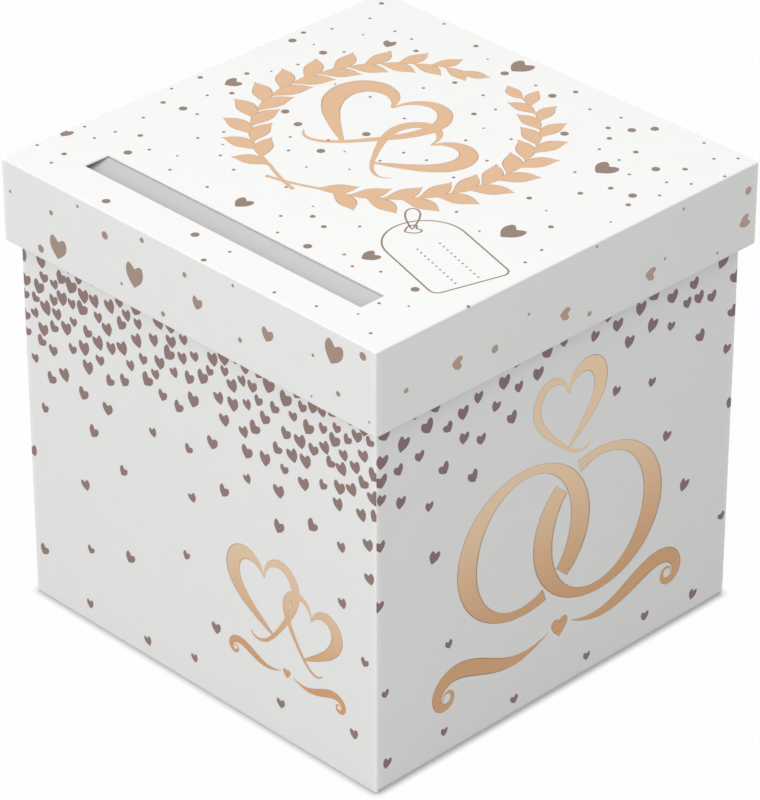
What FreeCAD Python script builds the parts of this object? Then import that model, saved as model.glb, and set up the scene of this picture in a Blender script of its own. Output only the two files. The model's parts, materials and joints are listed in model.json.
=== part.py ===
import FreeCAD, Part
import math
import os

# A card box of folding board: a square box and a lift-off lid with a posting slot.
# Millimetres, +Z up, front facing -Y. The origin is the middle of the base, on the floor.

# Overall sizes
lid_side = 300.0  # outside width and depth of the lid
total_height = 290.0  # floor to the top of the lid
skirt_height = 52.5  # depth of the lid's skirt
skirt_wall = 5.6  # thickness across the rolled, hollow skirt
lid_clearance = 0.8  # gap on each side between the skirt and the box

# Board
board = 0.8  # thickness of the folding board
crease_radius = 0.2  # inside radius of a folded crease
panel_gap = 0.3  # gap between neighbouring panels that only meet

# Posting slot and its flap
slot_length = 221.0
slot_width = 17.7
slot_inset = 27.3  # lid's front face to the slot's near edge
slot_flap_overlap = 3.0  # slot's near edge to the slot flap's free edge
slot_flap_clearance = 2.4  # slot flap's ends to the skirt's side flanges
slot_flap_setback = 2.0  # slot's far edge to the crease behind it
slot_flange_width = 15.0  # slot flap's flange, glued under the lid top
flap_crease_gap = 0.2  # crease line between the slot flap and its flange
flap_rest_angle = 15.0  # how far the slot flap stands off the lid top, in degrees

# Flaps that close the sheets
flange_width = 12.0  # skirt's flange, glued under the lid top
seam_flap_width = 22.0  # glue flap of the box's side seam
seam_flap_setback = 4.0  # seam flap ends short of the rim and of the base
seam_flap_taper = 7.0  # slant at the seam flap's two ends
side_flap_depth = 95.0  # short base flaps, from the wall inwards
flap_setback = 1.0  # a base flap ends short of the wall that it meets
flap_corner_cut = 9.0  # slant at the free corners of the base flaps

# Worked out from the sizes above
bend = crease_radius + board  # outside radius of a folded crease
lid_half = lid_side / 2
lid_underside = total_height - board
rim_bottom = total_height - skirt_height
skirt_inside = lid_half - skirt_wall
flange_underside = lid_underside - board
box_half = skirt_inside - lid_clearance
box_top = flange_underside
slot_near = slot_inset - lid_half
slot_far = slot_near + slot_width
slot_crease = slot_far + slot_flap_setback
slot_flap_free = slot_near - slot_flap_overlap
slot_flap_half = skirt_inside - flange_width - slot_flap_clearance
base_levels = {"front": 0.0, "back": board, "right": 2 * board, "left": 2 * board}
base_thickness = 3 * board

sides = ("front", "right", "back", "left")  # in order round the box
corner_names = {"front": "front_right", "right": "back_right", "back": "back_left", "left": "front_left"}
up = FreeCAD.Vector(0, 0, 1)
origin = FreeCAD.Vector(0, 0, 0)


def point(x, y, z=0.0):
    return FreeCAD.Vector(x, y, z)


def block(low, high):
    """Box between two opposite corners."""
    return Part.makeBox(*(b - a for a, b in zip(low, high)), FreeCAD.Vector(*low))


def on_side(shape, side):
    """A piece modelled on the front, turned round to its own side."""
    turned = shape.copy()
    turned.rotate(origin, up, 90.0 * sides.index(side))
    return turned


def is_upright(edge):
    first, last = (v.Point for v in edge.Vertexes)
    return abs(first.z - last.z) > abs(first.x - last.x) + abs(first.y - last.y)


def rounded_block(half, bottom, top, radius, round_top):
    """Square block about the Z axis with its upright edges rounded, and its top edges if asked."""
    solid = block((-half, -half, bottom), (half, half, top))
    edges = []
    for edge in solid.Edges:
        at_top = min(v.Point.z for v in edge.Vertexes) > (bottom + top) / 2
        if is_upright(edge) or (round_top and at_top):
            edges.append(edge)
    return solid.makeFillet(radius, edges)


def prism(points, direction):
    """Straight solid over a closed outline."""
    return Part.Face(Part.makePolygon(points + points[:1])).extrude(direction)


def side_prism(edges, half_length):
    """Solid with a section drawn in depth and height, run along the front from end to end."""
    section = Part.Face(Part.Wire(edges))
    section.translate(point(-half_length, 0))
    return section.extrude(point(2 * half_length, 0))


def line(start, end):
    return Part.makeLine(point(0, *start), point(0, *end))


def arc(centre, radius, start, end):
    """Quarter arc in depth and height, from one angle to the next in degrees."""
    places = []
    for degrees in (start, (start + end) / 2, end):
        angle = math.radians(degrees)
        depth = centre[0] + radius * math.cos(angle)
        height = centre[1] + radius * math.sin(angle)
        places.append(point(0, depth, height))
    return Part.Arc(*places).toShape()


def front_wedge(gap):
    """The quarter of the plan that faces the front, between the two diagonals less half a gap each."""
    reach = 2 * lid_side
    apex = -gap / 2 * math.sqrt(2)
    outline = [point(0, apex), point(-reach, apex - reach), point(reach, apex - reach)]
    return prism(outline, point(0, 0, 2 * total_height))


def on_front(sheet, low, high):
    """The stretch of a folded sheet between two corners of the front."""
    return sheet.common(block(low, high))


def box_sleeve():
    """The four walls of the box as one folded sheet."""
    outside = rounded_block(box_half, 0, box_top, bend, False)
    inside = rounded_block(box_half - board, 0, box_top, crease_radius, False)
    return outside.cut(inside)


def wall(side):
    """One wall of the box with the crease at its right-hand corner."""
    low = (bend - box_half, -box_half, base_levels[side] + bend)
    high = (box_half, bend - box_half, box_top)
    return on_side(on_front(box_sleeve(), low, high), side)


def side_seam_flap():
    """Glue flap inside the rear left corner, flat against the left wall."""
    inner_face = board - box_half
    root = -inner_face - crease_radius
    free = root - seam_flap_width
    bottom = base_thickness + seam_flap_setback
    top = box_top - seam_flap_setback
    outline = [
        point(inner_face, root, bottom),
        point(inner_face, free, bottom + seam_flap_taper),
        point(inner_face, free, top - seam_flap_taper),
        point(inner_face, root, top),
    ]
    return prism(outline, point(board, 0, 0))


def base_flap(side, reach):
    """Base flap with its crease: it runs inwards from the foot of its wall for the given depth."""
    level = base_levels[side]
    half_length = box_half - bend
    centre = (bend - box_half, level + bend)
    crease = side_prism(
        [
            arc(centre, bend, 180, 270),
            line((centre[0], level), (centre[0], level + board)),
            arc(centre, crease_radius, 270, 180),
            line((board - box_half, centre[1]), (-box_half, centre[1])),
        ],
        half_length,
    )
    root = centre[0]
    free = reach - box_half
    shoulder = half_length - flap_setback
    outline = [
        point(-half_length, root, level),
        point(half_length, root, level),
        point(shoulder, root + flap_setback, level),
        point(shoulder, free - flap_corner_cut, level),
        point(shoulder - flap_corner_cut, free, level),
        point(flap_corner_cut - shoulder, free, level),
        point(-shoulder, free - flap_corner_cut, level),
        point(-shoulder, root + flap_setback, level),
    ]
    flap = crease.fuse(prism(outline, point(0, 0, board))).removeSplitter()
    return on_side(flap, side)


def lid_top():
    """Top panel, flat between the creases, with the posting slot cut through."""
    flat = lid_half - bend
    panel = block((-flat, -flat, lid_underside), (flat, flat, total_height))
    slot_low = (-slot_length / 2, slot_near, lid_underside - board)
    slot_high = (slot_length / 2, slot_far, total_height + board)
    return panel.cut(block(slot_low, slot_high))


def slot_flap_flange():
    """Flange of the slot flap's strip, glued under the lid top behind the slot."""
    low = (-slot_flap_half, slot_crease, flange_underside)
    high = (slot_flap_half, slot_crease + slot_flange_width, lid_underside)
    return block(low, high)


def slot_flap():
    """Flap that closes the slot from below: creased behind it, and longer than it at both ends."""
    root = slot_crease - flap_crease_gap
    low = (-slot_flap_half, slot_flap_free, flange_underside)
    strip = block(low, (slot_flap_half, root, lid_underside))
    strip.rotate(point(0, root, flange_underside), point(1, 0, 0), flap_rest_angle)
    return strip


def lid_sheet():
    """Top and outer skirt of the lid as one folded sheet."""
    outside = rounded_block(lid_half, rim_bottom, total_height, bend, True)
    inside = rounded_block(lid_half - board, rim_bottom, lid_underside, crease_radius, True)
    return outside.cut(inside)


def skirt_outer(side):
    """Printed outside of the skirt with the crease to the lid top."""
    low = (bend - lid_half, -lid_half, rim_bottom + bend)
    high = (lid_half - bend, bend - lid_half, total_height)
    return on_side(on_front(lid_sheet(), low, high), side)


def corner_gusset(side):
    """Corner crease at the right-hand end of a skirt, with its web folded double into the hollow."""
    foot = rim_bottom + bend
    corner = on_front(
        lid_sheet(), (lid_half - bend, -lid_half, foot), (lid_half, bend - lid_half, total_height)
    )
    head = lid_underside - bend
    start = lid_half - board
    face = board - lid_half
    outline = [point(start, face, foot), point(start, face, head), point(start - (head - foot), face, foot)]
    web = prism(outline, point(0, 2 * board, 0))
    return on_side(corner.fuse(web).removeSplitter(), side)


def skirt_rim(side):
    """Lower rim where the skirt rolls over, mitred at the corners."""
    outer = -lid_half
    inner = -skirt_inside
    top = rim_bottom + bend
    first = (outer + bend, top)
    second = (inner - bend, top)
    channel = side_prism(
        [
            arc(first, bend, 180, 270),
            line((first[0], rim_bottom), (second[0], rim_bottom)),
            arc(second, bend, 270, 360),
            line((inner, top), (inner - board, top)),
            arc(second, crease_radius, 360, 270),
            line((second[0], rim_bottom + board), (first[0], rim_bottom + board)),
            arc(first, crease_radius, 270, 180),
            line((outer + board, top), (outer, top)),
        ],
        lid_half,
    )
    plan = rounded_block(lid_half, rim_bottom, total_height, bend, False)
    return on_side(channel.common(plan).common(front_wedge(0.0)), side)


def skirt_inner(side):
    """Inside of the rolled skirt, between the rim and the flange."""
    half_length = skirt_inside - panel_gap
    low = (-half_length, -skirt_inside - board, rim_bottom + bend)
    high = (half_length, -skirt_inside, lid_underside - bend)
    return on_side(block(low, high), side)


def skirt_flange(side):
    """Flange that ends the rolled skirt, glued up under the lid top and mitred at the corners."""
    hollow_face = -skirt_inside - board
    centre = (hollow_face + bend, lid_underside - bend)
    free = flange_width - skirt_inside
    strip = side_prism(
        [
            arc(centre, bend, 180, 90),
            line((centre[0], lid_underside), (free, lid_underside)),
            line((free, lid_underside), (free, flange_underside)),
            line((free, flange_underside), (centre[0], flange_underside)),
            arc(centre, crease_radius, 90, 180),
            line((-skirt_inside, centre[1]), (hollow_face, centre[1])),
        ],
        lid_half,
    )
    return on_side(strip.common(front_wedge(panel_gap)), side)


def pieces():
    """Every piece of the card box by name."""
    full_reach = 2 * box_half - board - flap_setback
    made = {
        "side_seam_flap": side_seam_flap(),
        "base_flap_front": base_flap("front", full_reach),
        "base_flap_back": base_flap("back", full_reach),
        "base_flap_left": base_flap("left", side_flap_depth),
        "base_flap_right": base_flap("right", side_flap_depth),
        "lid_top": lid_top(),
        "slot_flap_flange": slot_flap_flange(),
        "slot_flap": slot_flap(),
    }
    for side in sides:
        made[f"{side}_wall"] = wall(side)
        made[f"skirt_outer_{side}"] = skirt_outer(side)
        made[f"skirt_rim_{side}"] = skirt_rim(side)
        made[f"skirt_inner_{side}"] = skirt_inner(side)
        made[f"skirt_flange_{side}"] = skirt_flange(side)
        made[f"corner_gusset_{corner_names[side]}"] = corner_gusset(side)
    return made


os.makedirs("parts", exist_ok=True)
for name, shape in pieces().items():
    solid = shape.Solids[0]
    if len(shape.Solids) != 1 or not solid.isValid():
        raise ValueError(f"{name} is not one sound solid")
    solid.exportStep(f"parts/{name}.step")
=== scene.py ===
"""Looks of a printed wedding card box: board finishes, confetti print, foil ornaments and studio."""

import json
import math
import random

import bmesh
import bpy
from bpy.props import FloatProperty, FloatVectorProperty, IntProperty, PointerProperty
from mathutils import Matrix, Vector


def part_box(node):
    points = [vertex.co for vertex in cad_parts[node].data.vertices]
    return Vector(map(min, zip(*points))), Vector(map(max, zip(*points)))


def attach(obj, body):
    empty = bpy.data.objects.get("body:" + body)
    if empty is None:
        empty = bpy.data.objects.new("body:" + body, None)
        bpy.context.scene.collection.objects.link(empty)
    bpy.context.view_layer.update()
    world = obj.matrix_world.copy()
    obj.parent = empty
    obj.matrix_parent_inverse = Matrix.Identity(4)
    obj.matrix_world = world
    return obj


bl_info = {
    "name": "Wedding card box",
    "version": (1, 0, 0),
    "blender": (4, 5, 0),
    "location": "View3D > Sidebar > Card box",
    "description": "Prints and finishes a wedding card box of folding board",
    "category": "Object",
}

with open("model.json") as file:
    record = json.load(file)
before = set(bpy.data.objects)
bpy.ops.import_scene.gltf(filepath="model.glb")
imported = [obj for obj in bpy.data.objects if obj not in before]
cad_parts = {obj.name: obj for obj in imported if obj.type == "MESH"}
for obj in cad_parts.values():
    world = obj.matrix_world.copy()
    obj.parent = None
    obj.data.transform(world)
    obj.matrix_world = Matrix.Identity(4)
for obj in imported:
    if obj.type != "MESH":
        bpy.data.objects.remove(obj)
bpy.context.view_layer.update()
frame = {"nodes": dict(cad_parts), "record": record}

MM = 0.001
MERGE_DISTANCE = 1e-7
SIDES = ("front", "right", "back", "left")

# Sizes read from the frame, in metres
_skirt_low, _skirt_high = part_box("skirt_outer_front")
_wall_low, _wall_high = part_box("front_wall")
_flap_low, _flap_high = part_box("slot_flap")
LID_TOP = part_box("lid_top")[1].z
LID_FLAT = _skirt_high.x
BEND = -_skirt_low.y - LID_FLAT
SKIRT_FOOT = _skirt_low.z
BOX_HALF = -_wall_low.y
BOX_FLAT = -_wall_low.x
BOX_TOP = _wall_high.z
BOX_FOOT = _wall_low.z
FOLD_LENGTH = BEND * math.pi / 2
SHEET_REACH = LID_FLAT + FOLD_LENGTH + LID_TOP - BEND - SKIRT_FOOT
_openings = {opening["name"]: opening for opening in frame["record"]["physics"]["openings"]}
SLOT_HALF = _openings["card_slot"]["box_m"][1][0]

# Middles of the drawings, in millimetres: across and along the lid, or along a wall and up
WREATH_PLACE = (-20, 32)
TAG_PLACE = (98, -52)
RINGS_PLACE = (2, 108)
HEARTS_PLACE = (72, 80)
TAG_TURN = math.radians(-16)

# Circles about those middles that confetti hearts keep out of: across, along and radius, in millimetres
WREATH_BARE = ((0, 0, 101),)
TAG_BARE = tuple((across, across * math.tan(TAG_TURN), 28) for across in (-18, 0, 18))
RINGS_BARE = ((0, 0, 84), (4, 82, 36))
HEARTS_BARE = ((0, 0, 48),)


def linear(hex_colour):
    """Linear colour of an sRGB hex value."""
    parts = [int(hex_colour[i : i + 2], 16) / 255 for i in (1, 3, 5)]
    return [c / 12.92 if c <= 0.04045 else ((c + 0.055) / 1.055) ** 2.4 for c in parts]


def length(name, default, description):
    """Setting for a length in metres."""
    return FloatProperty(name=name, description=description, default=default, unit="LENGTH", precision=5)


def bearing(name, degrees, description):
    """Setting for an angle, its default in degrees."""
    return FloatProperty(name=name, description=description, default=math.radians(degrees), subtype="ANGLE")


def power(name, watts, description):
    """Setting for the power of a lamp."""
    return FloatProperty(name=name, description=description, default=watts, unit="POWER")


def colour(name, hex_colour, description):
    """Setting for a colour, its default in sRGB."""
    return FloatVectorProperty(
        name=name, description=description, default=linear(hex_colour), subtype="COLOR", min=0, max=1
    )


class BoardSettings(bpy.types.PropertyGroup):
    """Folding board of the box and of the lid."""

    coated: colour("Coated side", "#F6F6F5", "Clay-coated white side of the board")
    # Partly the uncoated side's own grey, partly painted shade: deep enough that the slot flap shows the
    # slot's shaded tone
    reverse: colour("Reverse side", "#C9C7C9", "Uncoated pale grey side, seen inside and in the slot")
    cut_edge: colour("Cut edge", "#EAE8E3", "Core of the board where it is die-cut")
    fibre_size: length("Fibre size", 0.7 * MM, "Spacing of the paper fibres, drawn coarse enough to show")
    mottle_size: length("Mottle size", 16 * MM, "Spacing of the soft clouding in the coat")
    # Painted highlight: a band of paler coat beside each upright fold, for the light a rounded fold catches
    highlight_width: length("Pale corner width", 5 * MM, "Width of the paler coat beside an upright fold")
    highlight_gain: FloatProperty(
        name="Pale corner gain",
        description="How much paler the coat is at an upright fold",
        default=1.06,
        min=1,
        max=1.08,
    )


class PrintSettings(bpy.types.PropertyGroup):
    """Confetti of hearts and dots, printed before the sheets are folded."""

    seed: IntProperty(name="Seed", description="Layout of the confetti", default=11, min=0)
    film: length("Print film", 0.05 * MM, "Thickness of the printed film")
    heart_width: length("Heart width", 8.1 * MM, "Usual width of a heart on the walls")
    front_spacing: length("Front spacing", 8.7 * MM, "Middle to middle of crowded hearts, front and back")
    side_spacing: length("Side spacing", 12 * MM, "Middle to middle of crowded hearts, left and right")
    front_band: length("Front band", 21 * MM, "Depth of the crowd below the lid, front and back")
    side_band: length("Side band", 8 * MM, "Depth of the crowd below the lid, left and right")
    corner_drop: length("Corner drop", 26 * MM, "How much deeper the crowd reaches at the corners")
    front_fade: length("Front fade", 58 * MM, "Depth in which the spacing grows 2.7 times, front and back")
    side_fade: length("Side fade", 50 * MM, "Depth in which the spacing grows 2.7 times, left and right")
    widest_spacing: length("Widest spacing", 44 * MM, "Middle to middle of the last stray hearts")
    mauve: colour("Front ink", "#907670", "Ink of the hearts on the front and back walls")
    plum: colour("Side ink", "#876C75", "Ink of the hearts on the left and right walls")
    # The lid top's foil is a darker copy of the skirt's same foil: painted shade against the top's stronger
    # light
    rose_top_shaded: colour("Lid top foil", "#9D8779", "Rose foil of the hearts and dots on the lid top")
    rose_skirt: colour("Lid skirt foil", "#AA9486", "Rose foil of the hearts and dots on the lid's skirt")


class FoilSettings(bpy.types.PropertyGroup):
    """Copper foil ornaments and the gift tag."""

    lid: colour("Lid foil", "#E5BC96", "Copper foil on the lid")
    front_light: colour("Front foil, upper", "#DFC3A4", "Copper foil high on the front and back walls")
    front_deep: colour("Front foil, lower", "#CE9C70", "Copper foil low on the front and back walls")
    # The left and right walls get a darker copy of the front's copper foil: painted shade
    side_upper_shaded: colour("Side foil, upper", "#D6BC9E", "Copper foil high on the left and right walls")
    side_lower_shaded: colour("Side foil, lower", "#BC936D", "Copper foil low on the left and right walls")
    crown: FloatProperty(
        name="Crown",
        description="Rise of a foil stroke as a share of half its width",
        default=0.022,
        min=0.001,
        max=0.2,
    )
    tag_line: length("Tag line", 1.1 * MM, "Width of the lines that draw the gift tag")


class StageSettings(bpy.types.PropertyGroup):
    """Camera, floor and light."""

    azimuth: bearing("Azimuth", 45.541, "Camera's turn round the box")
    elevation: bearing("Elevation", 31.257, "Camera's angle above the floor")
    distance: length("Distance", 2.6174, "Camera to the point that it looks at")
    aim_height: length("Aim height", 0.1327, "Height on the box's middle line that the camera looks at")
    lens: FloatProperty(name="Lens", description="Focal length on a 36 mm sensor", default=203.85)
    ambient: FloatProperty(name="Ambient", description="Strength of the even light all round", default=0.435)
    overhead: power("Overhead", 28.5, "Power of the softbox overhead")
    front: power("Front", 15.2, "Power of the low softbox in front")
    fill: power("Fill", 17.5, "Power of the softbox behind the camera")
    paper: colour("Floor paper", "#B4B4B4", "Paper of the floor, as it lights the box")
    contact: length("Contact shadow", 5 * MM, "Reach of the dark line where the box meets the floor")


def node(tree, kind, inputs=None, **settings):
    """Adds a node with its settings and with its input values or links."""
    made = tree.nodes.new(kind)
    for key, value in settings.items():
        setattr(made, key, value)
    for key, value in (inputs or {}).items():
        if isinstance(value, bpy.types.NodeSocket):
            tree.links.new(value, made.inputs[key])
        else:
            made.inputs[key].default_value = value
    return made


def rgba(values):
    """Colour as a shader socket takes it."""
    return (*values, 1.0)


def new_material(name):
    """A material with an empty tree and its output, as (material, tree, output)."""
    material = bpy.data.materials.new(name)
    material.use_nodes = True
    material.node_tree.nodes.clear()
    output = node(material.node_tree, "ShaderNodeOutputMaterial")
    return material, material.node_tree, output


def folding_board(name, settings, facing=None, corner_highlight=False):
    """Clay-coated folding board: an even satin white with faint fibres in the highlights.

    The reverse is a dull pale grey, partly its own uncoated tone and partly painted shade, deep enough
    that the slot flap seen through the slot takes the slot's shaded tone. The die-cut edge is a warmer
    white. facing is the way the coated side looks: None where only that side shows, a direction for a
    flat panel, or "outward" for the walls and base, whose coated side looks away from the box.
    The last argument is for upright panels: it paints a highlight on them, a paler coat towards
    the corners they fold at.
    """
    reverse_roughness = 0.8
    material, tree, output = new_material(name)
    place = node(tree, "ShaderNodeTexCoord")
    spot = place.outputs["Object"]
    mottle = node(
        tree, "ShaderNodeTexNoise", {"Vector": spot, "Scale": 1 / settings.mottle_size, "Detail": 3}
    )
    fibre = node(
        tree,
        "ShaderNodeTexNoise",
        {"Vector": spot, "Scale": 1 / settings.fibre_size, "Detail": 4, "Roughness": 0.65},
    )
    fibres = fibre.outputs["Fac"]
    clouding = node(
        tree, "ShaderNodeMapRange", {"Value": mottle.outputs["Fac"], "To Min": 0.985, "To Max": 1.012}
    )
    shade = clouding.outputs["Result"]
    # Painted highlight: the coat is made paler near each upright fold
    if corner_highlight:
        spread = node(tree, "ShaderNodeVectorMath", {0: spot}, operation="ABSOLUTE")
        reach = node(tree, "ShaderNodeSeparateXYZ", {"Vector": spread.outputs[0]})
        beyond = node(
            tree, "ShaderNodeMath", {0: reach.outputs["X"], 1: reach.outputs["Y"]}, operation="SUBTRACT"
        )
        from_fold = node(tree, "ShaderNodeMath", {0: beyond.outputs[0]}, operation="ABSOLUTE")
        highlight_ramp = node(
            tree,
            "ShaderNodeMapRange",
            {
                "Value": from_fold.outputs[0],
                "From Max": settings.highlight_width,
                "To Min": settings.highlight_gain,
                "To Max": 1.0,
            },
            interpolation_type="SMOOTHSTEP",
        )
        highlighted = node(
            tree, "ShaderNodeMath", {0: shade, 1: highlight_ramp.outputs["Result"]}, operation="MULTIPLY"
        )
        shade = highlighted.outputs[0]
    gloss = node(tree, "ShaderNodeMapRange", {"Value": fibres, "To Min": 0.34, "To Max": 0.50})
    tone, roughness = rgba(settings.coated), gloss.outputs["Result"]
    if facing is not None:
        outward = facing
        if facing == "outward":
            from_middle = node(
                tree, "ShaderNodeVectorMath", {0: spot, 1: (0, 0, BOX_TOP)}, operation="SUBTRACT"
            )
            outward = node(
                tree,
                "ShaderNodeVectorMath",
                {0: from_middle.outputs[0], "Scale": 1 / BOX_HALF},
                operation="SCALE",
            ).outputs[0]
        facing_out = node(
            tree, "ShaderNodeVectorMath", {0: place.outputs["Normal"], 1: outward}, operation="DOT_PRODUCT"
        ).outputs["Value"]
        is_coated = node(
            tree, "ShaderNodeMath", {0: facing_out, 1: 0.5}, operation="GREATER_THAN"
        ).outputs[0]
        is_reverse = node(
            tree, "ShaderNodeMath", {0: facing_out, 1: -0.5}, operation="LESS_THAN"
        ).outputs[0]
        # The reverse side's grey is partly painted shade, for the slot flap seen through the slot
        uncoated = node(
            tree,
            "ShaderNodeMix",
            {"Factor": is_reverse, "A": rgba(settings.cut_edge), "B": rgba(settings.reverse)},
            data_type="RGBA",
        )
        tone = node(
            tree,
            "ShaderNodeMix",
            {"Factor": is_coated, "A": uncoated.outputs["Result"], "B": tone},
            data_type="RGBA",
        ).outputs["Result"]
        roughness = node(
            tree, "ShaderNodeMix", {"Factor": is_coated, "A": reverse_roughness, "B": roughness}
        ).outputs["Result"]
    tinted = node(
        tree,
        "ShaderNodeMix",
        {"Factor": 1.0, "A": tone, "B": shade},
        data_type="RGBA",
        blend_type="MULTIPLY",
    )
    bump = node(tree, "ShaderNodeBump", {"Height": fibres, "Strength": 0.25, "Distance": 0.03 * MM})
    shader = node(
        tree,
        "ShaderNodeBsdfPrincipled",
        {
            "Base Color": tinted.outputs["Result"],
            "Roughness": roughness,
            "IOR": 1.5,
            "Specular IOR Level": 0.35,
            "Normal": bump.outputs["Normal"],
        },
    )
    tree.links.new(shader.outputs[0], output.inputs["Surface"])
    return material


def printed_ink(name, ink):
    """Offset ink under a satin varnish: a flat tone with slightly uneven ink cover."""
    # Coarser than real ink specks, so that they show
    speck = 1.4 * MM
    material, tree, output = new_material(name)
    place = node(tree, "ShaderNodeTexCoord")
    noise = node(
        tree, "ShaderNodeTexNoise", {"Vector": place.outputs["Object"], "Scale": 1 / speck, "Detail": 3}
    )
    specks = noise.outputs["Fac"]
    cover = node(tree, "ShaderNodeMapRange", {"Value": specks, "To Min": 0.9, "To Max": 1.1})
    tone = node(
        tree,
        "ShaderNodeMix",
        {"Factor": 1.0, "A": rgba(ink), "B": cover.outputs["Result"]},
        data_type="RGBA",
        blend_type="MULTIPLY",
    )
    gloss = node(tree, "ShaderNodeMapRange", {"Value": specks, "To Min": 0.38, "To Max": 0.55})
    shader = node(
        tree,
        "ShaderNodeBsdfPrincipled",
        {"Base Color": tone.outputs["Result"], "Roughness": gloss.outputs["Result"], "IOR": 1.5},
    )
    tree.links.new(shader.outputs[0], output.inputs["Surface"])
    return material


def hot_foil(name, tone, roughness, deeper=None, deep_height=0.0, light_height=LID_TOP):
    """Hot-stamped metal foil: bright metal with a fine pressed grain.

    deeper is a second tone, for foil that darkens down a wall from light_height to deep_height.
    """
    # Coarser than the real grain, so that it shows
    grain_size = 0.9 * MM
    uneven = 0.06
    material, tree, output = new_material(name)
    place = node(tree, "ShaderNodeTexCoord")
    noise = node(
        tree,
        "ShaderNodeTexNoise",
        {"Vector": place.outputs["Object"], "Scale": 1 / grain_size, "Detail": 3},
    )
    grain = noise.outputs["Fac"]
    gloss = node(
        tree,
        "ShaderNodeMapRange",
        {"Value": grain, "To Min": roughness - uneven, "To Max": roughness + uneven},
    )
    bump = node(tree, "ShaderNodeBump", {"Height": grain, "Strength": 0.08, "Distance": 0.01 * MM})
    shader = node(
        tree,
        "ShaderNodeBsdfPrincipled",
        {
            "Base Color": rgba(tone),
            "Roughness": gloss.outputs["Result"],
            "Metallic": 1.0,
            "Normal": bump.outputs["Normal"],
        },
    )
    if deeper is not None:
        height = node(tree, "ShaderNodeSeparateXYZ", {"Vector": place.outputs["Object"]})
        climb = node(
            tree,
            "ShaderNodeMapRange",
            {"Value": height.outputs["Z"], "From Min": deep_height, "From Max": light_height},
            interpolation_type="SMOOTHSTEP",
        )
        shaded = node(
            tree,
            "ShaderNodeMix",
            {"Factor": climb.outputs["Result"], "A": rgba(deeper), "B": rgba(tone)},
            data_type="RGBA",
        )
        tree.links.new(shaded.outputs["Result"], shader.inputs["Base Color"])
    tree.links.new(shader.outputs[0], output.inputs["Surface"])
    return material


def fold(distance, lift):
    """Where a point of a flat sheet goes when the sheet is folded down at a crease.

    distance is how far past the crease the point lies; the result is forward from it, and rise.
    """
    if distance <= 0:
        return distance, lift
    if distance < FOLD_LENGTH:
        angle = distance / BEND
        return (BEND + lift) * math.sin(angle), (BEND + lift) * math.cos(angle) - BEND
    return BEND + lift, FOLD_LENGTH - distance - BEND


def on_wall(side):
    """Function that puts a point of the flat wall sheet (along, height, lift) on one wall."""
    turn = Matrix.Rotation(math.radians(90) * SIDES.index(side), 3, "Z")

    def place(point):
        forward, rise = fold(abs(point.x) - BOX_FLAT, point.z)
        along = math.copysign(BOX_FLAT + forward, point.x)
        return turn @ Vector((along, -BOX_HALF - rise, point.y))

    return place


def on_lid(point):
    """Puts a point of the flat lid sheet (across, along, lift) on the folded lid."""
    over_x, over_y = abs(point.x) - LID_FLAT, abs(point.y) - LID_FLAT
    forward, rise = fold(max(over_x, over_y), point.z)
    if over_x > over_y:
        return Vector((math.copysign(LID_FLAT + forward, point.x), point.y, LID_TOP + rise))
    return Vector((point.x, math.copysign(LID_FLAT + forward, point.y), LID_TOP + rise))


def heart(angle):
    """Outline of a plump heart one unit wide and high, with its notch at angle 0.

    Its height is a sum of waves, shifted so that the middle lies at the origin.
    """
    waves, shift, whole = (13, -4, -2, -1), 2.1, 27.7
    across = math.sin(angle) * abs(math.sin(angle)) ** 0.6 / 2
    along = sum(wave * math.cos((i + 1) * angle) for i, wave in enumerate(waves))
    return across, (along + shift) / whole


def dot(angle):
    """Outline of a round dot one unit wide."""
    return math.sin(angle) / 2, math.cos(angle) / 2


def add_shape(bm, outline, segments, centre, width, height, turn, lift=0.0):
    """Adds one flat shape to a sheet."""
    ring = bmesh.ops.create_circle(bm, cap_ends=True, segments=segments, radius=1)["verts"]
    spin = Matrix.Rotation(turn, 2)
    for vert in ring:
        across, along = outline(math.atan2(vert.co.x, vert.co.y))
        across, along = spin @ Vector((across * width, along * height))
        vert.co = (centre[0] + across, centre[1] + along, lift)


def crease_lines(flat):
    """Places of the cuts that let a printed shape follow a crease on either side of a flat panel."""
    steps = 4
    return [sign * (flat + FOLD_LENGTH * i / steps) for sign in (-1, 1) for i in range(steps + 1)]


def trim(bm, half):
    """Cuts flat shapes off at either end of a sheet."""
    for end in (-1, 1):
        bmesh.ops.bisect_plane(
            bm,
            geom=bm.verts[:] + bm.edges[:] + bm.faces[:],
            plane_co=(end * half, 0, 0),
            plane_no=(end, 0, 0),
            clear_outer=True,
            dist=MERGE_DISTANCE,
        )


def finish_print(bm, name, cuts, place, film):
    """Gives the flat shapes their film, folds them onto the box and returns the piece."""
    for axis, positions in cuts:
        for position in positions:
            bmesh.ops.bisect_plane(
                bm,
                geom=bm.verts[:] + bm.edges[:] + bm.faces[:],
                plane_co=Vector(axis) * position,
                plane_no=axis,
                dist=MERGE_DISTANCE,
            )
    lifted = bmesh.ops.extrude_face_region(bm, geom=bm.faces[:], use_keep_orig=True)["geom"]
    tops = [item for item in lifted if isinstance(item, bmesh.types.BMVert)]
    bmesh.ops.translate(bm, verts=bm.verts[:], vec=(0, 0, -film / 2))
    bmesh.ops.translate(bm, verts=tops, vec=(0, 0, film * 3 / 2))
    for vert in bm.verts:
        vert.co = place(vert.co)
    bmesh.ops.recalc_face_normals(bm, faces=bm.faces[:])
    return piece_from(bm, name)


def piece_from(bm, name):
    """Links a finished bmesh to the scene as a piece."""
    mesh = bpy.data.meshes.new(name)
    bm.to_mesh(mesh)
    bm.free()
    piece = bpy.data.objects.new(name, mesh)
    bpy.context.scene.collection.objects.link(piece)
    return piece


def dress(piece, material, body):
    """Gives a piece its finish, and lets it move with its body."""
    piece.data.materials.append(material)
    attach(piece, body)


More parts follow.
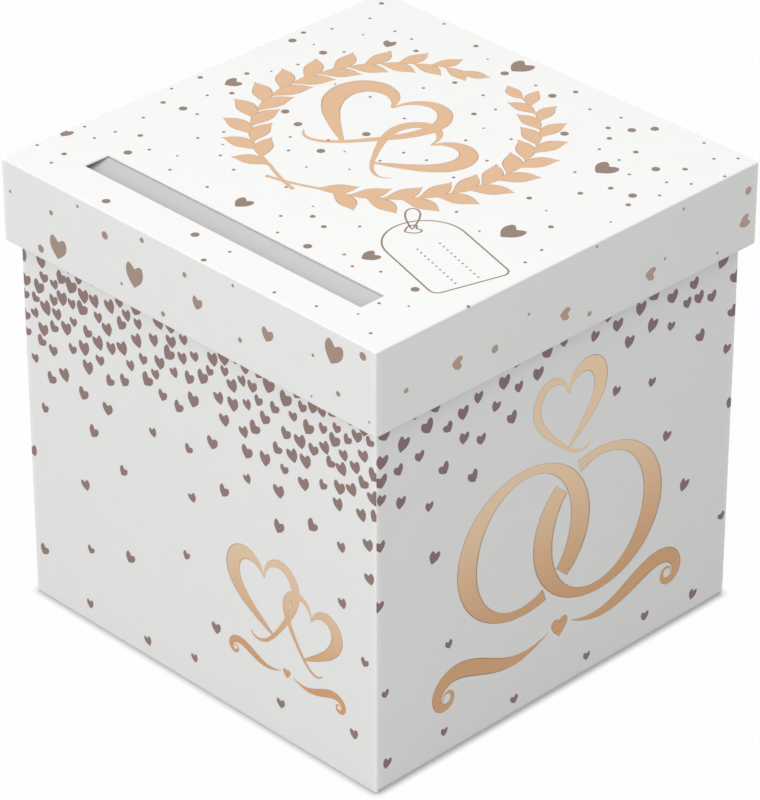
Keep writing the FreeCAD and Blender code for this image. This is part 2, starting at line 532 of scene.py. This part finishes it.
def scatter(rng, throws, throw, spacing_at, taken):
    """Points thrown one after the other, kept where they lie far enough from those before.

    spacing_at gives the spacing at a point, or None where no point may lie. taken holds the circles
    (middle, radius) that stay bare.
    """
    kept = []
    for _ in range(throws):
        spot = throw()
        spacing = spacing_at(*spot)
        if spacing is None:
            continue
        spacing *= rng.uniform(0.75, 1.2)
        apart = all(math.dist(spot, other) > (spacing + room) / 2 for other, room in kept)
        if apart and all(math.dist(spot, centre) > radius for centre, radius in taken):
            kept.append((spot, spacing))
    return [spot for spot, _ in kept]


def brush_piece(name, strokes, place, crown, handles="AUTO"):
    """Raised strokes as one piece.

    Each stroke is (points, closed), and a point is (across, along, half width) in millimetres.
    """
    curve = bpy.data.curves.new(name, "CURVE")
    curve.dimensions = "3D"
    curve.bevel_depth = 1.0
    curve.bevel_resolution = 3
    curve.resolution_u = 6 if handles == "AUTO" else 1
    curve.use_fill_caps = True
    for points, closed in strokes:
        spline = curve.splines.new("BEZIER")
        spline.bezier_points.add(len(points) - 1)
        spline.use_cyclic_u = closed
        spline.radius_interpolation = "CARDINAL"
        for knot, (across, along, half_width) in zip(spline.bezier_points, points):
            knot.co = (across * MM, along * MM, 0)
            knot.radius = half_width * MM
            knot.handle_left_type = knot.handle_right_type = handles
    holder = bpy.data.objects.new(name, curve)
    mesh = bpy.data.meshes.new_from_object(holder)
    bpy.data.objects.remove(holder)
    bpy.data.curves.remove(curve)
    bm = bmesh.new()
    bm.from_mesh(mesh)
    bpy.data.meshes.remove(mesh)
    bmesh.ops.remove_doubles(bm, verts=bm.verts[:], dist=MERGE_DISTANCE)
    bmesh.ops.scale(bm, vec=(1, 1, crown), verts=bm.verts[:])
    bmesh.ops.transform(bm, matrix=place, verts=bm.verts[:])
    bmesh.ops.recalc_face_normals(bm, faces=bm.faces[:])
    for face in bm.faces:
        face.smooth = True
    return piece_from(bm, name)


def stroke_points(strokes):
    """All the points of a drawing, each (across, along, half width)."""
    return [point for points, _ in strokes for point in points]


def kept_clear(circles, centre, margin=0):
    """Circles (across, along, radius) about a centre, all in millimetres, as (middle, radius) in metres."""
    return [
        (((centre[0] + across) * MM, (centre[1] + along) * MM), (radius + margin) * MM)
        for across, along, radius in circles
    ]


def lid_plane(centre):
    """Place of a drawing on the lid top, about a point in millimetres."""
    return Matrix.Translation((centre[0] * MM, centre[1] * MM, LID_TOP))


def wall_plane(side, centre):
    """Place of a drawing on a wall, about a point (along, height) in millimetres."""
    upright = Matrix.Rotation(math.radians(90), 4, "X")
    turn = Matrix.Rotation(math.radians(90) * SIDES.index(side), 4, "Z")
    return turn @ Matrix.Translation((centre[0] * MM, -BOX_HALF, centre[1] * MM)) @ upright


def mirrored(strokes):
    """The same strokes, left for right."""
    return [
        ([(-across, along, half) for across, along, half in points], closed) for points, closed in strokes
    ]


def moved(strokes, centre, size=1.0, turn=0.0):
    """The same strokes, turned, scaled and moved to a centre."""
    spin = Matrix.Rotation(turn, 2) * size
    middle = Vector(centre)
    return [
        ([(*(middle + spin @ Vector(point[:2])), point[2] * size) for point in points], closed)
        for points, closed in strokes
    ]


def pen_stroke(start, heading, runs, thick, thin):
    """Stroke whose bend changes evenly along each run (length, bend in, bend out), in degrees per mm.

    It swells from thin at both ends to thick in the middle.
    """
    step = 2.5
    total = sum(run[0] for run in runs)
    points = []
    spot = Vector(start)
    gone = 0.0
    for run_length, bend_in, bend_out in runs:
        steps = max(2, round(run_length / step))
        advance = run_length / steps
        for i in range(steps):
            points.append((*spot, thin + (thick - thin) * math.sin(math.pi * gone / total) ** 1.3))
            heading += math.radians(bend_in + (bend_out - bend_in) * (i + 0.5) / steps) * advance
            spot += Vector((math.cos(heading), math.sin(heading))) * advance
            gone += advance
    points.append((*spot, thin))
    return points, False


def arc_points(centre, radius, start, end, count):
    """Points along an arc, angles in degrees."""
    turns = [math.radians(start + (end - start) * i / count) for i in range(count + 1)]
    return [
        (centre[0] + radius * math.cos(turn), centre[1] + radius * math.sin(turn)) for turn in turns
    ]


def brush_heart():
    """Open heart 100 wide: a full stroke down one side, a slim one down the other with a tail."""
    full = (
        (0, 13, 1.0),
        (5, 25, 3.6),
        (17, 34, 6.6),
        (32, 34, 8.8),
        (43, 24, 9.8),
        (46, 9, 9.5),
        (40, -9, 7.9),
        (27, -26, 5.7),
        (11, -42, 3.4),
        (-1, -53, 1.5),
    )
    slim = (
        (0, 13, 1.0),
        (-6, 25, 2.2),
        (-18, 33, 4.0),
        (-32, 32, 5.4),
        (-42, 22, 6.0),
        (-45, 7, 5.7),
        (-39, -10, 4.7),
        (-26, -27, 3.6),
        (-11, -42, 2.7),
        (3, -54, 2.2),
        (17, -61, 1.9),
        (29, -60, 1.3),
        (35, -53, 0.7),
    )
    return [(full, False), (slim, False)]


def solid_heart(size):
    """Small filled heart in two fat strokes that meet at its tip."""
    lobe = (
        (0.24, 0.45, 0.02),
        (0.24, 0.43, 0.1),
        (0.24, 0.36, 0.19),
        (0.23, 0.23, 0.245),
        (0.18, 0.02, 0.22),
        (0.1, -0.2, 0.14),
        (0.0, -0.46, 0.02),
    )
    half = [([(across * size, along * size, half * size) for across, along, half in lobe], False)]
    return half + mirrored(half)


def leaf(base, direction, size, bow):
    """Stroke of one leaf from its stalk to its tip, bowed sideways by a share of its length."""
    shape = ((0.0, 0.02), (0.25, 0.15), (0.5, 0.22), (0.75, 0.16), (1.0, 0.01))
    spin = Matrix.Rotation(direction, 2) * size
    root = Vector(base)
    points = []
    for share, half in shape:
        aside = bow * 4 * share * (1 - share)
        points.append((*(root + spin @ Vector((share, aside))), size * half))
    return points, False


def spray(radius, start, end, leaves, size):
    """Curved twig from its cut end at start, with leaves left and right in turn up to its tip."""
    bare_knots, tail_share, tail_rise = 2, 0.13, 9
    stem_foot, stem_tip = 1.25, 0.45
    splay, side_bow, tip_bow = 0.62, 0.08, 0.05
    way = math.copysign(1, end - start)
    strokes, stem = [], []
    for i in range(leaves + 1):
        share = i / leaves
        angle = start + (end - start) * share
        reach = radius + tail_rise * max(0.0, 1 - share / tail_share) ** 1.3
        base = (reach * math.cos(angle), reach * math.sin(angle))
        stem.append((*base, stem_foot + (stem_tip - stem_foot) * share))
        ahead = angle + way * math.pi / 2
        leaf_size = size * (0.72 + 0.42 * math.sin(math.pi * (0.1 + 0.7 * share)) - 0.22 * share)
        if i == leaves:
            strokes.append(leaf(base, ahead, leaf_size, tip_bow * way))
        elif i > bare_knots:
            side = 1 if i % 2 else -1
            strokes.append(leaf(base, ahead + side * splay, leaf_size, -side_bow * side))
    strokes.append((stem, False))
    return strokes


def broken_ring(centre, radius, gap_at, gap, nib):
    """Ring drawn with a broad nib held at an angle, with a gap where it runs under another."""
    thin, thick, count = 2.7, 7.4, 40
    points = []
    for i in range(count + 1):
        angle = gap_at + gap / 2 + (2 * math.pi - gap) * i / count
        half = thin + (thick - thin) * math.cos(angle - nib) ** 2
        points.append((centre[0] + radius * math.cos(angle), centre[1] + radius * math.sin(angle), half))
    return points, False


def flourish():
    """Pair of swashes that run out from a small heart and curl in at their ends."""
    runs = ((26, 0.6, 1.6), (34, 1.6, -0.6), (26, -0.6, -5), (22, -5, -12), (14, -12, -20))
    half = [pen_stroke(start=(9, 0), heading=math.radians(-25), runs=runs, thick=5.2, thin=0.3)]
    return half + mirrored(half) + solid_heart(size=13)


def wreath():
    """Two sprays that cross below, round a pair of hearts."""
    strokes = []
    for start, end in ((-83, -252), (-97, 72)):
        strokes += spray(82, math.radians(start), math.radians(end), leaves=25, size=26)
    strokes += moved(mirrored(brush_heart()), (-18, 7), size=0.76, turn=0.2)
    strokes += moved(brush_heart(), (26, -7), size=0.6, turn=-0.22)
    return strokes


def linked_rings():
    """A pair of linked rings with a heart over them and a flourish below."""
    left, right, radius, gap = (-28, 5), (28, -5), 42, 0.36
    toward = math.atan2(right[1] - left[1], right[0] - left[0])
    crossing = math.acos(math.dist(left, right) / 2 / radius)
    strokes = [
        broken_ring(left, radius, toward - crossing, gap, toward),
        broken_ring(right, radius, toward + math.pi - crossing, gap, toward),
    ]
    strokes += moved(brush_heart(), (3, 76), size=0.52)
    strokes += moved(flourish(), (0, -60))
    return moved(strokes, (0, 0), size=1.08)


def paired_hearts():
    """A pair of hearts over a small flourish."""
    strokes = moved(mirrored(brush_heart()), (-16, 15), size=0.56, turn=0.2)
    strokes += moved(brush_heart(), (19, 5), size=0.45, turn=-0.22)
    return strokes + moved(flourish(), (0, -34), size=0.5)


class CARDBOX_OT_board(bpy.types.Operator):
    """Finish every panel of folding board"""

    bl_idname = "cardbox.board"
    bl_label = "Finish board"

    def execute(self, context):
        board = context.scene.cardbox_board
        flap_span = _flap_high - _flap_low
        flap_turn = math.atan2(flap_span.z, flap_span.y)
        coated = folding_board("coated_folding_board", board)
        # Skirts and walls get a painted highlight beside their upright folds
        skirt = folding_board("coated_folding_board_skirt_painted_highlight", board, corner_highlight=True)
        walls = folding_board("folding_board_walls_painted_highlight", board, "outward", corner_highlight=True)
        base = folding_board("folding_board_base", board, "outward")
        top = folding_board("folding_board_lid_top", board, (0, 0, 1))
        under_flap = (0, math.sin(flap_turn), -math.cos(flap_turn))
        flap = folding_board("folding_board_slot_flap", board, under_flap)
        for name, panel in frame["nodes"].items():
            finish = coated
            if name.endswith("_wall"):
                finish = walls
            elif name.startswith("base_flap") or name == "side_seam_flap":
                finish = base
            elif name.startswith("skirt_outer"):
                finish = skirt
            elif name == "lid_top":
                finish = top
            elif name == "slot_flap":
                finish = flap
            panel.data.materials.clear()
            panel.data.materials.append(finish)
        return {"FINISHED"}


class CARDBOX_OT_wall_confetti(bpy.types.Operator):
    """Print the hearts that fall from under the lid on the four walls"""

    bl_idname = "cardbox.wall_confetti"
    bl_label = "Print wall confetti"

    throws = 9000
    heart_points = 22
    widest_turn = 0.55

    # Room round the foil, in millimetres
    foil_margin = 9

    # Where the crowd is shallowest, as a share of half the wall, and how sharply it drops beside that
    shallow_share = 0.1
    corner_power = 1.8

    # Depth at which the stray hearts are smallest, and the share of their width that they lose
    stray_depth = 150 * MM
    stray_shrink = 0.2

    def execute(self, context):
        settings = context.scene.cardbox_print
        inks = {
            "front": printed_ink("mauve_ink", settings.mauve),
            "right": printed_ink("plum_ink", settings.plum),
        }
        inks.update(back=inks["front"], left=inks["right"])
        for side in SIDES:
            dress(self.wall(settings, side), inks[side], "box")
        return {"FINISHED"}

    def wall(self, settings, side):
        """Hearts of one wall: a crowd under the lid, deepest at the corners, then a few strays."""
        rng = random.Random(f"{settings.seed} {side}")
        if side in ("front", "back"):
            crowded, band, fade = settings.front_spacing, settings.front_band, settings.front_fade
            drawing, centre, bare = paired_hearts(), HEARTS_PLACE, HEARTS_BARE
        else:
            crowded, band, fade = settings.side_spacing, settings.side_band, settings.side_fade
            drawing, centre, bare = linked_rings(), RINGS_PLACE, RINGS_BARE
        taken = kept_clear(bare, centre) + kept_clear(stroke_points(drawing), centre, self.foil_margin)
        shallow = self.shallow_share * BOX_FLAT
        margin = settings.heart_width
        half = BOX_FLAT + FOLD_LENGTH / 2

        def throw():
            return rng.uniform(-half, half), rng.uniform(BOX_FOOT + margin, BOX_TOP - margin / 2)

        def spacing_at(along, height):
            aside = abs((along - shallow) / BOX_FLAT)
            reach = band + settings.corner_drop * aside**self.corner_power
            below = max(0.0, SKIRT_FOOT - height - reach)
            return min(settings.widest_spacing, crowded * math.exp(below / fade))

        bm = bmesh.new()
        for spot in scatter(rng, self.throws, throw, spacing_at, taken):
            stray = min(1.0, max(0.0, SKIRT_FOOT - spot[1]) / self.stray_depth)
            width = settings.heart_width * rng.uniform(0.8, 1.2) * (1 - self.stray_shrink * stray)
            height = width * rng.uniform(0.88, 1.08)
            lift = rng.uniform(0, settings.film / 2)
            turn = rng.uniform(-self.widest_turn, self.widest_turn)
            add_shape(bm, heart, self.heart_points, spot, width, height, turn, lift)
        trim(bm, half)
        cuts = [((1, 0, 0), crease_lines(BOX_FLAT))]
        return finish_print(bm, f"{side}_wall_confetti", cuts, on_wall(side), settings.film)


class CARDBOX_OT_lid_confetti(bpy.types.Operator):
    """Print the dots and hearts that are strewn over the lid"""

    bl_idname = "cardbox.lid_confetti"
    bl_label = "Print lid confetti"

    # Widths to draw from, in millimetres
    heart_widths = (7.8, 8.2, 9.0, 10.4, 14.0)
    dot_widths = (1.5, 2.0, 2.0, 2.1, 3.2, 3.3, 5.0)

    # Spacing on the lid top, spacing on its skirt, and margin to the slot and the edges
    heart_spacing = (78 * MM, 60 * MM, 9 * MM)
    dot_spacing = (13 * MM, 27 * MM, 3.5 * MM)

    heart_throws = 1500
    dot_throws = 700
    heart_points = 22
    dot_points = 14
    widest_turn = 0.45
    heart_room = 12 * MM
    roughness = 0.42

    # Room round the foil, in millimetres
    foil_margin = 3.5

    def execute(self, context):
        settings = context.scene.cardbox_print
        rng = random.Random(settings.seed)
        # Painted shade: the lid top gets a darker copy of the skirt's rose foil, changing over the fold
        foil = hot_foil(
            "rose_foil_shaded_top", settings.rose_top_shaded, self.roughness, settings.rose_skirt, LID_TOP - BEND, LID_TOP
        )

        def throw():
            return rng.uniform(-SHEET_REACH, SHEET_REACH), rng.uniform(-SHEET_REACH, SHEET_REACH)

        tag = kept_clear(TAG_BARE, TAG_PLACE)
        bare = kept_clear(WREATH_BARE, WREATH_PLACE) + tag
        hearts = scatter(rng, self.heart_throws, throw, self.spacing(*self.heart_spacing), bare)
        bm = bmesh.new()
        for spot in hearts:
            width = rng.choice(self.heart_widths) * MM
            height = width * rng.uniform(0.92, 1.06)
            turn = rng.uniform(-self.widest_turn, self.widest_turn)
            add_shape(bm, heart, self.heart_points, spot, width, height, turn)
        taken = [(spot, self.heart_room) for spot in hearts] + tag
        taken += kept_clear(stroke_points(wreath()), WREATH_PLACE, self.foil_margin)
        for spot in scatter(rng, self.dot_throws, throw, self.spacing(*self.dot_spacing), taken):
            width = rng.choice(self.dot_widths) * MM
            add_shape(bm, dot, self.dot_points, spot, width, width, 0)
        lines = crease_lines(LID_FLAT)
        cuts = [((1, 0, 0), lines), ((0, 1, 0), lines)]
        piece = finish_print(bm, "lid_confetti", cuts, on_lid, settings.film)
        dress(piece, foil, "lid")
        return {"FINISHED"}

    def spacing(self, on_top, on_skirt, margin):
        """Function for the spacing at a point: None near the slot, a corner or the lower rim."""

        def spacing_at(across, along):
            inner, outer = sorted((abs(across), abs(along)))
            in_slot_length = abs(across) < SLOT_HALF + margin
            in_slot = in_slot_length and _flap_low.y - margin < along < _flap_high.y + margin
            if in_slot or inner > LID_FLAT - margin or outer > SHEET_REACH - margin:
                return None
            return on_skirt if outer > LID_FLAT else on_top

        return spacing_at


class CARDBOX_OT_foil(bpy.types.Operator):
    """Stamp the copper foil ornaments on the lid and on the walls"""

    bl_idname = "cardbox.foil"
    bl_label = "Stamp foil"

    roughness = 0.3

    # Heights on a wall of the lower tone and of the upper one
    front_heights = (40 * MM, 120 * MM)
    side_heights = (50 * MM, 170 * MM)

    def execute(self, context):
        settings = context.scene.cardbox_foil
        lid_foil = hot_foil("copper_foil_lid", settings.lid, self.roughness)
        front_foil = hot_foil(
            "copper_foil_front",
            settings.front_light,
            self.roughness,
            settings.front_deep,
            *self.front_heights,
        )
        # Painted shade: the side walls' foil is a darker copy of the front's
        shaded_side_foil = hot_foil(
            "copper_foil_side_shaded", settings.side_upper_shaded, self.roughness, settings.side_lower_shaded, *self.side_heights
        )
        piece = brush_piece("lid_wreath", wreath(), lid_plane(WREATH_PLACE), settings.crown)
        dress(piece, lid_foil, "lid")
        for side in SIDES:
            if side in ("front", "back"):
                strokes, centre, foil = paired_hearts(), HEARTS_PLACE, front_foil
            else:
                strokes, centre, foil = linked_rings(), RINGS_PLACE, shaded_side_foil
            piece = brush_piece(f"{side}_wall_foil", strokes, wall_plane(side, centre), settings.crown)
            dress(piece, foil, "box")
        return {"FINISHED"}


class CARDBOX_OT_tag(bpy.types.Operator):
    """Draw the gift tag with its cord and two writing lines on the lid"""

    bl_idname = "cardbox.tag"
    bl_label = "Draw gift tag"

    crown = 0.1

    def execute(self, context):
        rose = bpy.data.materials["rose_foil_shaded_top"]
        half_line = context.scene.cardbox_foil.tag_line / 2 / MM
        place = lid_plane(TAG_PLACE) @ Matrix.Rotation(TAG_TURN, 4, "Z")
        piece = brush_piece("gift_tag", self.outline(half_line), place, self.crown, handles="VECTOR")
        dress(piece, rose, "lid")
        rows, dots, first, step = (6, -8), 11, -9, 4.2
        dot_width, dot_points = 1.4 * MM, 10
        bm = bmesh.new()
        for row in rows:
            for i in range(dots):
                spot = ((first + step * i) * MM, row * MM)
                add_shape(bm, dot, dot_points, spot, dot_width, dot_width, 0)
        film = context.scene.cardbox_print.film
        lines = finish_print(bm, "tag_writing_lines", [], lambda point: place @ point, film)
        dress(lines, rose, "lid")
        return {"FINISHED"}

    def outline(self, half_line):
        """Strokes of a tag with an arched end, a heart for its eyelet and a loop of cord."""
        half_length, half_height, corner = 38, 24, 5
        edge = arc_points((half_height - half_length, 0), half_height, 90, 270, count=24)
        edge += arc_points((half_length - corner, corner - half_height), corner, 270, 360, count=6)
        edge += arc_points((half_length - corner, half_height - corner), corner, 0, 90, count=6)
        eyelet_inset, eyelet_width, eyelet_points = 8.5, 9, 24
        eyelet_middle = Vector((eyelet_inset - half_length, 0))
        eyelet = []
        for i in range(eyelet_points):
            eyelet.append(eyelet_middle + Vector(heart(2 * math.pi * i / eyelet_points)) * eyelet_width)
        cord_length, cord_bow, cord_points = 24, 4.2, 28
        cord_turn = Matrix.Rotation(math.radians(150), 2)
        cord = []
        for i in range(cord_points):
            share = i / cord_points
            out = cord_length * math.sin(math.pi * share)
            aside = cord_bow * math.sin(2 * math.pi * share)
            cord.append(eyelet_middle + cord_turn @ Vector((out, aside)))
        return [([(*spot, half_line) for spot in ring], True) for ring in (edge, eyelet, cord)]


class CARDBOX_OT_stage(bpy.types.Operator):
    """Set the box on a white floor under soft light, with the camera"""

    bl_idname = "cardbox.stage"
    bl_label = "Set stage"

    # Places and widths in metres; the fill stands behind the camera, by a share of its distance
    overhead_place, overhead_width = (0, 0, 2.4), 3.2
    front_place, front_width = (-0.7, -2.2, 0.9), 2.4
    behind_camera, fill_width = 1.05, 1.8
    lamp_aim = (0, 0, 0.15)
    floor_half = 6

    def execute(self, context):
        scene = context.scene
        stage = scene.cardbox_stage
        scene.view_settings.view_transform = "Standard"
        self.floor(stage)
        self.world(scene, stage)
        self.softbox(scene, "overhead_softbox", self.overhead_place, self.overhead_width, stage.overhead)
        self.softbox(scene, "front_softbox", self.front_place, self.front_width, stage.front)
        self.camera(scene, stage)
        fill_place = scene.camera.location * self.behind_camera
        self.softbox(scene, "camera_softbox", fill_place, self.fill_width, stage.fill)
        return {"FINISHED"}

    def seen_white(self, tree):
        """Factor that is 1 for rays that look at the background rather than light the box."""
        rays = node(tree, "ShaderNodeLightPath")
        looks = node(
            tree,
            "ShaderNodeMath",
            {0: rays.outputs["Is Camera Ray"], 1: rays.outputs["Is Glossy Ray"]},
            operation="MAXIMUM",
        )
        return node(
            tree,
            "ShaderNodeMath",
            {0: looks.outputs[0], 1: rays.outputs["Is Transmission Ray"]},
            operation="MAXIMUM",
        ).outputs[0]

    def floor(self, stage):
        """White paper that keeps the shadow of the box, darkest in a thin line where the box stands."""
        shadow_white, open_white = 0.25, 0.98
        bm = bmesh.new()
        bmesh.ops.create_grid(bm, x_segments=1, y_segments=1, size=self.floor_half)
        floor = piece_from(bm, "floor")
        material, tree, output = new_material("white_paper_sweep")
        lit = node(tree, "ShaderNodeBsdfDiffuse", {"Color": rgba(stage.paper)})
        white = node(tree, "ShaderNodeEmission", {"Color": (1, 1, 1, 1), "Strength": 1.0})
        contact = node(tree, "ShaderNodeAmbientOcclusion", {"Distance": stage.contact}, samples=16)
        clear = node(
            tree,
            "ShaderNodeMapRange",
            {"Value": contact.outputs["AO"], "From Min": 0.5, "To Min": shadow_white, "To Max": open_white},
        )
        whiteness = node(
            tree,
            "ShaderNodeMath",
            {0: self.seen_white(tree), 1: clear.outputs["Result"]},
            operation="MULTIPLY",
        )
        mixed = node(
            tree, "ShaderNodeMixShader", {0: whiteness.outputs[0], 1: lit.outputs[0], 2: white.outputs[0]}
        )
        tree.links.new(mixed.outputs[0], output.inputs["Surface"])
        floor.data.materials.append(material)

    def world(self, scene, stage):
        """Even light from all round, with a white background."""
        world = bpy.data.worlds.new("white_studio")
        world.use_nodes = True
        tree = world.node_tree
        tree.nodes.clear()
        output = node(tree, "ShaderNodeOutputWorld")
        even = node(tree, "ShaderNodeBackground", {"Color": (1, 1, 1, 1), "Strength": stage.ambient})
        white = node(tree, "ShaderNodeBackground", {"Color": (1, 1, 1, 1), "Strength": 1.0})
        mixed = node(
            tree, "ShaderNodeMixShader", {0: self.seen_white(tree), 1: even.outputs[0], 2: white.outputs[0]}
        )
        tree.links.new(mixed.outputs[0], output.inputs["Surface"])
        scene.world = world

    def softbox(self, scene, name, place, width, watts):
        """Round soft lamp that looks at the box, and that leaves no glare in the foil."""
        lamp = bpy.data.lights.new(name, "AREA")
        lamp.shape = "DISK"
        lamp.size = width
        lamp.energy = watts
        holder = bpy.data.objects.new(name, lamp)
        holder.location = place
        holder.visible_glossy = False
        aim = Vector(self.lamp_aim) - holder.location
        holder.rotation_mode = "QUATERNION"
        holder.rotation_quaternion = aim.to_track_quat("-Z", "Y")
        scene.collection.objects.link(holder)

    def camera(self, scene, stage):
        """Long lens that looks down on a corner of the box."""
        data = bpy.data.cameras.new("camera")
        data.lens = stage.lens
        data.clip_end = 50
        camera = bpy.data.objects.new("camera", data)
        level = math.cos(stage.elevation)
        back = Vector(
            (math.sin(stage.azimuth) * level, -math.cos(stage.azimuth) * level, math.sin(stage.elevation))
        )
        camera.location = Vector((0, 0, stage.aim_height)) + back * stage.distance
        camera.rotation_mode = "QUATERNION"
        camera.rotation_quaternion = (-back).to_track_quat("-Z", "Y")
        scene.collection.objects.link(camera)
        scene.camera = camera


class CARDBOX_PT_sidebar(bpy.types.Panel):
    """Steps of the card box, in order"""

    bl_idname = "CARDBOX_PT_sidebar"
    bl_label = "Card box"
    bl_space_type = "VIEW_3D"
    bl_region_type = "UI"
    bl_category = "Card box"

    def draw(self, context):
        for step in STEPS:
            self.layout.operator(step.bl_idname)


GROUPS = {
    "cardbox_board": BoardSettings,
    "cardbox_print": PrintSettings,
    "cardbox_foil": FoilSettings,
    "cardbox_stage": StageSettings,
}
STEPS = (
    CARDBOX_OT_stage,
    CARDBOX_OT_board,
    CARDBOX_OT_wall_confetti,
    CARDBOX_OT_lid_confetti,
    CARDBOX_OT_foil,
    CARDBOX_OT_tag,
)
CLASSES = (*GROUPS.values(), *STEPS, CARDBOX_PT_sidebar)


def register():
    for cls in CLASSES:
        bpy.utils.register_class(cls)
    for name, group in GROUPS.items():
        setattr(bpy.types.Scene, name, PointerProperty(type=group))


def unregister():
    for name in GROUPS:
        delattr(bpy.types.Scene, name)
    for cls in reversed(CLASSES):
        bpy.utils.unregister_class(cls)


def main():
    register()
    bpy.ops.cardbox.stage()
    bpy.ops.cardbox.board()
    bpy.ops.cardbox.wall_confetti()
    bpy.ops.cardbox.lid_confetti()
    bpy.ops.cardbox.foil()
    bpy.ops.cardbox.tag()


if __name__ == "__main__":
    main()
